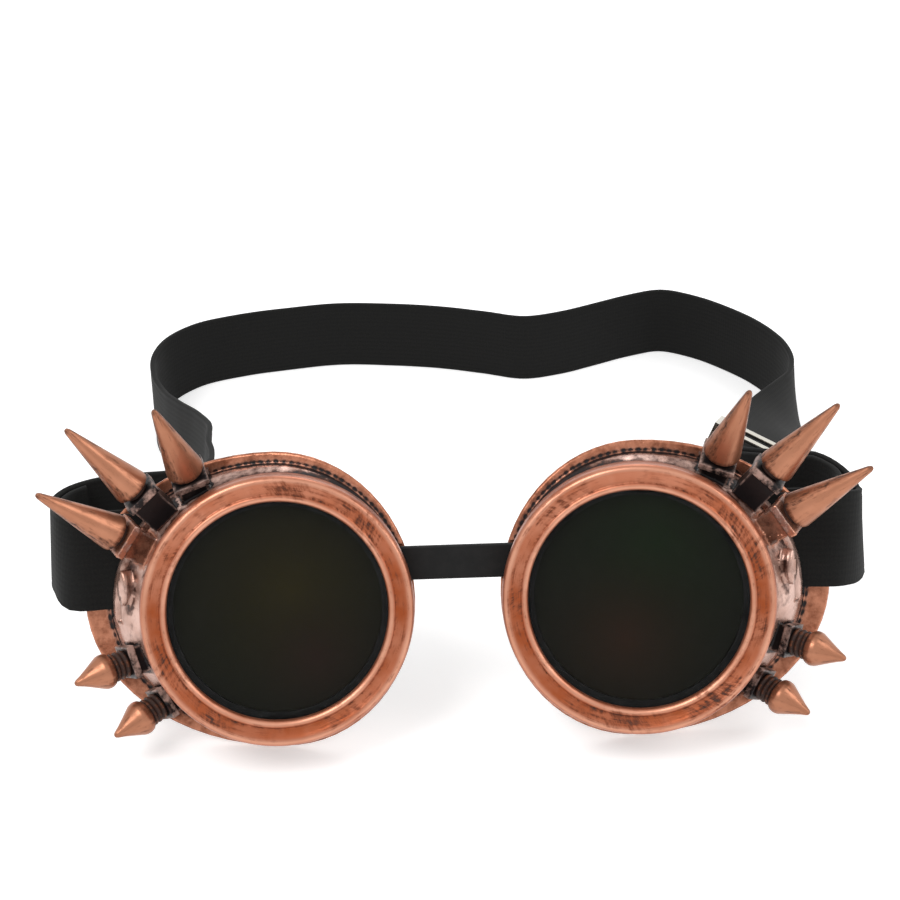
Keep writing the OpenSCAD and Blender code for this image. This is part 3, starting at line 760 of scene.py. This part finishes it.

# %% [markdown]
# The cone of a spike is polished on its ridge and browned along its middle, with
# a darker rim and a grey tip; its stem is painted fully dark as the shade in the
# gap above the block. A stud's head is a short cone with a full round shoulder,
# and the ridged neck under it is dark, partly paint and partly painted shade.

# %% Spikes and studs
spike_profile = [
    (0, -4.7), (1.7, -4.7), (1.7, -1.2), (2.7, -1.2), (2.7, 0), (3.75, 0), (4.15, 0.3), (4.15, 1.1),
    (3.4, 5.4), (2.5, 10.4), (1.6, 15.5), (0.72, 20.3), (0.4, 20.9), (0, 21)]
stud_ridges = [(radius, height + low) for low in (-3.6, -2.4, -1.2)
               for radius, height in ((2.75, 0), (3.2, 0.4), (3.25, 0.8))]
stud_profile = [
    (0, -7.1), (1.7, -7.1), (1.7, -3.6), *stud_ridges, (2.75, 0), (3.3, 0.1), (3.8, 0.7), (4.0, 1.6),
    (3.85, 2.5), (3.3, 3.5), (2.3, 5.3), (1.3, 7.2), (0.72, 8.5), (0.4, 8.9), (0, 9)]


def spike_wear_and_shade(co):
    # Painted shade: the stem under the cone is painted fully dark, as the gap above the block is in shade.
    if co.z < 0.05:
        return 2.0, 0.0
    angle = math.atan2(co.y, co.x)
    browned = 0.45 * max(0.0, math.sin(angle * 2 + co.z * 0.08))
    rim = 0.45 * bell(co.z, 0.4, 0.5)
    tip = 0.5 * bell(co.z, 21, 1.6)
    return 0.12 + browned + rim + tip, 0.62 - 0.5 * browned


def stud_wear_and_shade(co):
    # The neck is dark as paint and as painted shade under the head, darkest in its grooves.
    if co.z < 0.2:
        return 1.1 + 0.9 * bell(math.hypot(co.x, co.y), 2.7, 0.3), 0.0
    return 0.15 + 0.45 * bell(co.z, 0.3, 0.5) + 0.4 * bell(co.z, 9, 1.0), 0.55


point_steps = 64
point_looks = {
    "spike": (rounded(spike_profile, 0.25), spike_wear_and_shade),
    "stud": (rounded(stud_profile, 0.25), stud_wear_and_shade),
}
for side in SIDES:
    outward = 1 if side == "right" else -1
    for part in seats:
        profile, wear_and_light = point_looks[part.split("_")[0]]
        place = cup_place[side] @ in_metres(seat_pose(part, outward))
        point = turned_piece(side + "_copper_" + part, profile, point_steps, place, wear_and_light)
        stand_for(point, side + "_" + part, side + "_cup", spike_copper)
        print(point.name, "faces", len(point.data.polygons))


# %% [markdown]
# The cups keep the shape of their CAD solid, but their finish differs from place
# to place, so the script has to know which part of a cup a point belongs to. It
# works in millimetres in the directions of a right cup: x outward to the temple,
# y up and z forward from the ring's front. A left cup is its mirror image. The
# flange is a swept oval that lies deepest at the temple, and each block is a box
# that points the way its spike or stud does.

# %% Parts of a cup
shoulder_back = 9.8
nose_depth = 12.5
temple_sweep = 14.5
rim_temple = 44.0
rim_nose = 30.6
rim_half_height = 33.6
wall_temple = 38.5
wall_nose = 29.1
wall_half_height = 31.1
block_top = 1.7
block_sizes = {"spike": (1.2, 8.0, 8.5), "stud": (3.6, 7.4, 7.5)}
block_looks = {
    "spike_top": (0.85, 0.1), "spike_middle": (1.0, 0.0), "spike_side": (0.22, 0.9),
    "stud_upper": (0.8, 0.2), "stud_lower": (0.8, 0.2)}
block_frames = {}
for part, (outside, way, depth, turn, lean) in seats.items():
    leaned = Matrix.Rotation(math.radians(90 - lean), 4, "Y")
    turned_to = Matrix.Rotation(math.radians(turn), 4, "Z") @ leaned
    block_frames[part] = (Matrix.Translation(seat_pose(part, 1).translation) @ turned_to).inverted()
boss_middle = (31.5, 4.6, -16.9)
boss_frame = (Matrix.Translation(boss_middle) @ Matrix.Rotation(math.radians(52), 4, "Y")).inverted()


def rim_depth(x, y):
    """How far the flange's rear edge lies behind the ring's front, in the direction of a point."""
    around = math.atan2(y / rim_half_height, x / (rim_temple if x > 0 else rim_nose))
    return nose_depth + temple_sweep * ((1 + math.cos(around)) / 2) ** 1.5


def outside_wall(x, y):
    """How far a point of the flange lies outside the wall."""
    share = math.hypot(x / (wall_temple if x > 0 else wall_nose), y / wall_half_height)
    return (1 - 1 / max(share, 0.01)) * math.hypot(x, y)


def block_paint_and_light(co):
    """Paint and shade, warmth and painted edge highlight on a block, with painted highlights round its top
    and dark sides below.
    """
    if math.hypot(co.x, co.y) < ring_outer - 2:
        return None
    for part, (paint_and_shade, warm) in block_looks.items():
        neck, width, length = block_sizes[part.split("_")[0]]
        local = block_frames[part] @ co
        sideways = max(abs(local.x), abs(local.y))
        if -neck - length < local.z < -neck + 0.05 and sideways < width / 2 + 0.05:
            # Painted highlight: the edge value lightens the rim of the block's top and the corners of its
            # sides.
            if local.z > -neck - block_top - 0.05:
                return paint_and_shade, warm, 1 - min((width / 2 - sideways) / 0.7, 1)
            corner = min(abs(local.x), abs(local.y)) > width / 2 - 1.0
            return paint_and_shade, warm, 0.8 if corner else 0.0
    return None


print("flange depth at nose and temple", rim_depth(-1, 0), rim_depth(1, 0), "mm")

# %% [markdown]
# Three attributes carry the finish. Paint has gathered in the line where the
# flange meets the wall, where small beads break it up. The shoulder close to the
# ring and a band of wall behind it are darkened as painted shade. The raised oval
# at the temple was wiped clean and gets a painted highlight, as does the flange's
# rear edge. The rest is wall, a little darker on its upper side and more coppery
# below.

# %% Finish of a point
bead_pitch = 1.8
flange_thick = 1.75
mean_flange_radius = 33


def flange_paint_and_light(co, to_rim):
    beads = 0.5 + 0.5 * math.sin(math.atan2(co.y, co.x) * 2 * math.pi * mean_flange_radius / bead_pitch)
    groove = (0.4 + 0.5 * beads) * bell(outside_wall(co.x, co.y), 0.35, 0.45) if to_rim > 1.2 else 0.0
    # The third value is a painted highlight along the flange's rear edge.
    return 0.08 + groove, 1.0 - 0.5 * min(groove, 1), 0.25 * bell(to_rim, 0.2, 0.5)


def cup_paint_and_light(co):
    """Paint with painted shade, warmth and painted edge highlight of a point."""
    block = block_paint_and_light(co)
    if block:
        return block
    depth = -co.z
    to_rim = rim_depth(co.x, co.y) - depth
    if to_rim < flange_thick:
        return flange_paint_and_light(co, to_rim)
    if to_rim < flange_thick + 1.05:
        return 0.8, 0.2, 0.0
    # Painted shade: the shoulder tucked behind the ring is darkened.
    if depth < shoulder_back + 0.8:
        return 0.6, 0.2, 0.0
    local = boss_frame @ co
    boss = math.hypot(local.x / 1.7, local.y / 4)
    if boss < 1.6 and co.x > 0 and abs(local.z) < 3:
        # Painted highlight: inside the oval the edge value lightens it.
        return (0.02, 0.3, 0.4) if boss < 0.95 else (0.5, 0.2, 0.0)
    # The wall is a little darker on its upper side and more coppery on its lower side.
    upward = co.y / max(math.hypot(co.x, co.y), 0.1)
    # Painted shade: a band of wall just behind the ring is darkened.
    shade_near_ring = bell(depth, shoulder_back + 1.0, 1.4)
    return 0.16 + 0.18 * max(upward, 0) + 0.5 * shade_near_ring, 0.12 + 0.25 * max(-upward, 0), 0.0


print("finish of the flange", [round(v, 2) for v in cup_paint_and_light(Vector((0, 33, 0.5 - rim_depth(0, 33))))])

# %% [markdown]
# An attribute has its values at the mesh's points, and a CAD solid is a mesh of
# loose and long triangles. A copy of it is welded, and its long edges are cut
# again and again until every triangle is small enough to carry the pattern.

# %% Eye cups
cutting_rounds = 6


def triangle_size(co):
    """The longest edge wanted at a point: fine at the flange, finer than the wall on the blocks."""
    if rim_depth(co.x, co.y) + co.z < 3.0 and outside_wall(co.x, co.y) > -1.2:
        return 0.55
    return 0.8 if block_paint_and_light(co) else 1.4


def small_triangles(bm, to_local):
    for k in range(cutting_rounds):
        long_edges = []
        for edge in bm.edges:
            a, b = (to_local(vert.co) for vert in edge.verts)
            if (a - b).length > triangle_size((a + b) / 2):
                long_edges.append(edge)
        if not long_edges:
            break
        bmesh.ops.subdivide_edges(bm, edges=long_edges, cuts=1)
        bmesh.ops.triangulate(bm, faces=bm.faces)


def cup_local(side):
    to_cup = cup_place[side].inverted()
    outward = 1 if side == "right" else -1

    def to_local(co):
        local = to_cup @ co / MM
        return Vector((local.x * outward, local.y, local.z))
    return to_local


for side in SIDES:
    bm = bmesh.new()
    bm.from_mesh(nodes[side + "_eye_cup"].data)
    bmesh.ops.remove_doubles(bm, verts=bm.verts, dist=2e-6)
    to_local = cup_local(side)
    small_triangles(bm, to_local)
    # The edge layer says where a highlight is painted.
    layers = [bm.verts.layers.float.new(name) for name in ("paint_and_shade", "warm", "edge")]
    for vert in bm.verts:
        for layer, value in zip(layers, cup_paint_and_light(to_local(vert.co))):
            vert[layer] = value
    for face in bm.faces:
        face.smooth = True
    cup = finish_mesh(bm, side + "_plated_cup")
    stand_for(cup, side + "_eye_cup", side + "_cup", cup_copper)
    print(side, "cup triangles", len(cup.data.polygons))

# %% [markdown]
# The head strap is a flat elastic band. Its course is a smooth line through
# stations, each with the direction of the strap's upper edge, and the numbers
# are those of the CAD: the place on the table as seen from above, the height of
# the lower edge and the lean of the upper one. Close to a cup the stations
# follow the slot in its rear flange, out of it and round behind it.

# %% Stations of the strap
strap_width = 22.0
strap_thick = 1.5
layer_pitch = 2.1
table_middle = (cup_place["left"].translation + cup_place["right"].translation) / (2 * MM)


def lifted(x, y, low):
    return Vector((x + table_middle.x, y + table_middle.y, low + strap_width / 2))


def edge_of(heading, lean):
    """Direction of the upper edge for a heading and a lean in degrees."""
    heading = Vector(heading).normalized()
    side = Vector((-heading.y, heading.x, 0)).normalized()
    return math.cos(math.radians(lean)) * heading.cross(side) + math.sin(math.radians(lean)) * side


def station(middle, edge):
    return Vector((*middle, *edge))


def stations(course):
    result = []
    for i, (x, y, low, lean) in enumerate(course):
        before, after = course[max(i - 1, 0)], course[min(i + 1, len(course) - 1)]
        heading = lifted(*after[:3]) - lifted(*before[:3])
        result.append(station(lifted(x, y, low), edge_of(heading, lean)))
    return result


slot_height = 8.6
slot_depth = 20.7
slot_lean = Matrix.Rotation(math.radians(5), 4, "X")
slot_plane = -2.2
back_plane = -7.016
turn_middle = 25.5
turn_radius = 2.408


def slot_station(side, outward, forward):
    """A station in the frame of a cup's slots: millimetres outward and forward."""
    outward *= 1 if side == "right" else -1
    pose = Matrix.Translation((0, slot_height, -slot_depth)) @ slot_lean
    low, high = (cup_place[side] @ in_metres(pose) @ Vector((outward * MM, rise * MM, forward * MM))
                 for rise in (0.6, 1.6))
    return station(low / MM, (high - low).normalized())


def turn_stations(side, start, end):
    """Five stations round the slot's bar, between two angles in degrees."""
    result = []
    for k in range(5):
        angle = math.radians(start + (end - start) * k / 4)
        outward = turn_middle - turn_radius * math.sin(angle)
        result.append(slot_station(side, outward, slot_plane - turn_radius * (1 - math.cos(angle))))
    return result


def way_in(side):
    run = [slot_station(side, x, slot_plane) for x in (46, 40, 35, 30, turn_middle)]
    return run + turn_stations(side, 22, 82)


def way_back(side):
    run = [slot_station(side, x, back_plane) for x in (turn_middle, 31, 37, 43)]
    return turn_stations(side, 98, 158) + run


print("stations at a slot", len(way_in("left")), len(way_back("left")))

# %% [markdown]
# From the left cup the strap makes a loop beside it, runs back, lies on its
# lower edge behind the goggles with a dent in the middle, and leans over more and
# more on its way to the slider. There it runs straight, because the slider's bars
# hold it flat. Then it stands up again and enters the right cup's slot.

# %% Course of the strap
left_course = (
    (-92, 27, 28, -6), (-93.4, 33.5, 27.2, -6), (-90.4, 39.8, 27, -6), (-83, 43, 26.8, 0),
    (-74, 46.5, 25.5, 0), (-66.5, 51.5, 23, -2), (-62.3, 60, 20, -5), (-62.3, 70, 17.5, -8),
    (-64.6, 82, 15, -8), (-66.5, 97, 11.5, -10), (-71.5, 111, 8, -10), (-78.4, 125, 4.5, -9),
    (-85.5, 141, 1.2, -6), (-90, 156, 0, -2))
on_table = (
    (-91, 168), (-88.5, 180), (-80.5, 190.5), (-68, 196.5), (-52, 200.5), (-37, 203), (-20, 201.5),
    (-3, 198), (12, 192.5), (24, 188), (36, 190.8), (48, 196.5), (60, 202.5), (70, 205.5), (80, 200),
    (89, 190.5), (97, 178.5), (101.8, 165))
rising = ((103.2, 152, 0, -3), (101.6, 139, 1, -14), (97.8, 127, 4, -34), (92.8, 115, 8, -54))
back_course = tuple((x, y, 0, 0) for x, y in on_table) + rising
right_course = (
    (71.5, 61, 23.4, -48), (72.5, 53.5, 24.6, -20), (78, 48.4, 25.6, -5), (85.5, 46, 25.8, 0),
    (90.8, 41, 25.3, -4), (93.4, 35, 25, -7), (93.6, 29, 25, -7))
slider_middle = lifted(80, 83, 17.7)
slider_way = Vector((-0.36, -0.9, 0.24)).normalized()
slider_edge = edge_of(slider_way, -71)
slider_side = slider_way.cross(slider_edge)


def on_slider(along, below):
    return station(slider_middle + along * slider_way + below * slider_side, slider_edge)


straight = [on_slider(along, 0) for along in (-15, -7.5, 0, 7.5, 15)]
loop = way_in("left")[::-1] + stations(left_course) + stations(back_course)
loop += straight + stations(right_course) + way_in("right")
print("stations of the loop", len(loop))


# %% [markdown]
# Between the stations the line is a cubic curve with matched slopes, so it has
# no corner. A second layer of strap lies beside the first one near each cup. At
# the left the end is turned back and sewn to the inside. At the right it comes
# back to the slider and is sewn round the bar, as a piece of its own.

# %% Rings of the strap
def gap_between(a, b):
    return max((b.to_3d() - a.to_3d()).length, 0.001)


def slope_at(line, i):
    a, b, c = line[max(i - 1, 0)], line[i], line[min(i + 1, len(line) - 1)]
    before, after = gap_between(a, b), gap_between(b, c)
    if i == 0:
        return (c - b) / after
    if i == len(line) - 1:
        return (b - a) / before
    return ((c - b) / after * before + (b - a) / before * after) / (before + after)


def spans(line, first, last, step=4.0):
    result = []
    for i in range(first, last):
        a, b = line[i], line[i + 1]
        p, q = slope_at(line, i) * gap_between(a, b), slope_at(line, i + 1) * gap_between(a, b)
        count = max(1, round(gap_between(a, b) / step))
        for k in range(count):
            t = k / count
            result.append((2 * t ** 3 - 3 * t ** 2 + 1) * a + (t ** 3 - 2 * t ** 2 + t) * p
                          + (3 * t ** 2 - 2 * t ** 3) * b + (t ** 3 - t ** 2) * q)
    return result


def smooth(line, step=4.0):
    return spans(line, 0, len(line) - 1, step) + [line[-1]]


def rings(line):
    """Middle, way to the upper edge and way out of the inner face, at each station of a line."""
    result = []
    for i, here in enumerate(line):
        way = (line[min(i + 1, len(line) - 1)].to_3d() - line[max(i - 1, 0)].to_3d()).normalized()
        edge = Vector(here[3:])
        edge = (edge - edge.dot(way) * way).normalized()
        result.append((here.to_3d(), edge, way.cross(edge)))
    return result


def beside(line):
    return [station(middle + layer_pitch * out, edge) for middle, edge, out in rings(line)]


hem_from, hem_to = 11, 13
hem = beside(spans(loop, hem_from, hem_to))
head_line = hem[::-1] + smooth(way_back("left")[::-1] + loop)[1:]
layer_start = len(loop) - len(way_in("right")) - len(right_course) - 1
return_layer = beside(spans(loop, layer_start, layer_start + len(right_course) - 2))
bar_drop = 3.7
bar_turn = 1.6
bar_angles = [math.radians(a) for a in range(150, 29, -30)]
tab = [on_slider(along, bar_drop + bar_turn) for along in (9, 4, 0)]
tab += [on_slider(-bar_turn * math.sin(a), bar_drop - bar_turn * math.cos(a)) for a in bar_angles]
tab += [on_slider(0, layer_pitch), on_slider(3, layer_pitch)]
return_line = tab + return_layer + smooth(way_back("right")[::-1])
print("stations of the two pieces", len(head_line), len(return_line))


# %% [markdown]
# Webbing is woven flat, so it is modelled flat: a grid of faces gets its
# thickness, the four long corners are rounded, and a shallow groove marks the
# firm selvedge. Its map is taken while it is flat. Then every point is carried
# to the ring it belongs to, and a little noise lets the band ripple as a limp
# strap does.

# %% Flat bands
selvedge_line = 9.7


def flat_band(rows, width, thick, columns, corner):
    """A band of unit row spacing along y, its thickness centred on z = 0."""
    bm = bmesh.new()
    bmesh.ops.create_grid(bm, x_segments=columns, y_segments=rows - 1, size=1)
    bmesh.ops.scale(bm, vec=(width / 2, (rows - 1) / 2, 1), verts=bm.verts)
    bmesh.ops.translate(bm, vec=(0, (rows - 1) / 2, 0), verts=bm.verts)
    bmesh.ops.solidify(bm, geom=bm.faces[:], thickness=thick)
    middle = (max(vert.co.z for vert in bm.verts) + min(vert.co.z for vert in bm.verts)) / 2
    bmesh.ops.translate(bm, vec=(0, 0, -middle), verts=bm.verts)
    long_corners = [edge for edge in bm.edges
                    if all(abs(abs(vert.co.x) - width / 2) < 1e-4 for vert in edge.verts)
                    and abs(edge.verts[0].co.y - edge.verts[1].co.y) > 0.5]
    bmesh.ops.bevel(
        bm, geom=long_corners, offset=corner, segments=3, profile=0.5, affect="EDGES", material=-1)
    bmesh.ops.recalc_face_normals(bm, faces=bm.faces)
    return bm


def between(values, at):
    low = min(max(int(at), 0), len(values) - 2)
    return values[low].lerp(values[low + 1], at - low)


def laid_band(name, line, width, thick, shape, ripple=None, columns=44, corner=0.5, step=1.6):
    """Lays a flat band along a line of stations; returns the piece and its length in metres."""
    middles, edges, outs = zip(*rings(smooth(line, step)))
    length = [0.0]
    for a, b in zip(middles, middles[1:]):
        length.append(length[-1] + (b - a).length)
    bm = flat_band(len(middles), width, thick, columns, corner)
    uv = bm.loops.layers.uv.new("surface")
    lengths = [Vector((value, 0)) for value in length]
    for face in bm.faces:
        face.smooth = True
        for face_corner in face.loops:
            x, y, z = face_corner.vert.co
            face_corner[uv].uv = ((x + z) * MM, between(lengths, y).x * MM)
    for vert in bm.verts:
        x, y, z = vert.co
        along = between(lengths, y).x
        z = shape(x, z, along, length[-1])
        if ripple:
            z += ripple(x, along, between(middles, y))
        upward, out = between(edges, y).normalized(), between(outs, y).normalized()
        vert.co = (between(middles, y) + upward * x + out * z) * MM
    return finish_mesh(bm, name, 60), length[-1] * MM


def selvedge(x, z, along, length):
    groove = 0.16 * bell(abs(x), selvedge_line, 0.35)
    return z * (1 - groove)


def strap_ripple(x, along, place):
    away_from_slider = 1 - bell((place - slider_middle).length, 0, 22)
    near_cups = place.y < table_middle.y + 70
    low = noise.noise(Vector((x * 0.035, along * 0.045, 3.7)))
    fine = noise.noise(Vector((x * 0.10, along * 0.16, 9.1)))
    return (0.25 * low + 0.06 * fine) * away_from_slider * (0.35 if near_cups else 1)


print("selvedge groove lies", round(strap_width / 2 - selvedge_line, 1), "mm from the edge")


# %% [markdown]
# The head strap crosses from one cup to the other, so it bends with the bridge:
# its left part follows the left cup, its right part the right one, and the run at
# the back turns smoothly between them. The short return piece is sewn to the
# slider's bar and threaded through the right cup's slot, and it takes up the
# slider's travel on its straight stretch.

# %% Head strap and return piece
head_strap, head_length = laid_band(
    "woven_head_strap", head_line, strap_width, strap_thick, selvedge, strap_ripple)
head_strap.data.materials.append(webbing)
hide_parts("head_strap")
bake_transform(head_strap, "left_cup", "right_cup", start=(-0.05, 0, 0), end=(0.05, 0, 0))

follow_end = 17
strap_return, return_length = laid_band(
    "woven_strap_return", return_line, strap_width, strap_thick, selvedge)
strap_return.data.materials.append(webbing)
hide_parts("strap_return")
follow_from = (slider_middle + slider_way) * MM
follow_to = (slider_middle + follow_end * slider_way) * MM
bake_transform(strap_return, "slider", "right_cup", start=follow_from, end=follow_to)
print("strap length", round(head_length, 4), "return length", round(return_length, 4))
print("triangles", len(head_strap.data.polygons) * 2, len(strap_return.data.polygons) * 2)

# %% [markdown]
# The bridge is a short moulded strip between the cups. It is made like a band,
# with its thick ends, which sit behind the cups' walls, drawn out of its rear
# face. It has to give when the cups are bent together, so it is blended too.

# %% Bridge strip
bridge_height = 7.6
bridge_thick = 1.8
bead_length = 3.0
bead_thick = 1.2
low, high = (Vector(corner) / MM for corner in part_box("bridge_strip"))
bridge_back = -Vector((1, 0, 0)).cross(cup_up)
bridge_middle = (low + high) / 2 - bead_thick / 2 * bridge_back
left_end, right_end = (Vector((x, *bridge_middle.yz)) for x in (low.x, high.x))
bridge_line = [station(left_end.lerp(right_end, k / 6), cup_up) for k in range(7)]
outward_sign = 1 if rings(bridge_line)[0][2].dot(bridge_back) > 0 else -1


def bridge_shape(x, z, along, length):
    from_end = min(along, length - along)
    if z * outward_sign > 0 and from_end < bead_length:
        return z + outward_sign * bead_thick
    return z


bridge, bridge_length = laid_band(
    "moulded_bridge", bridge_line, bridge_height, bridge_thick, bridge_shape,
    columns=16, corner=0.55, step=0.6)
bridge.data.materials.append(black_rubber)
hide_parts("bridge_strip")
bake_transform(bridge, "left_cup", "right_cup", start=(-0.012, 0, 0), end=(0.004, 0, 0))
print("bridge", [round(v, 1) for v in bridge_middle], round(bridge_length, 4))

# %% [markdown]
# The lenses and the slider are right as they come from CAD. They only need
# their materials, which go into their own slots.

# %% Finishes on CAD nodes
def finish_node(node, material):
    data = nodes[node].data
    data.materials.clear()
    data.materials.append(material)


for side in SIDES:
    finish_node(side + "_dark_lens", dark_glass(side + "_dark_glass", side))
    finish_node(side + "_clear_lens", clear_glass)
    finish_node(side + "_lens_gasket", gasket_rubber)
finish_node("slider_frame", nickel)
finish_node("slider_bar", nickel)
print("finished CAD nodes", 3 * len(SIDES) + 2)
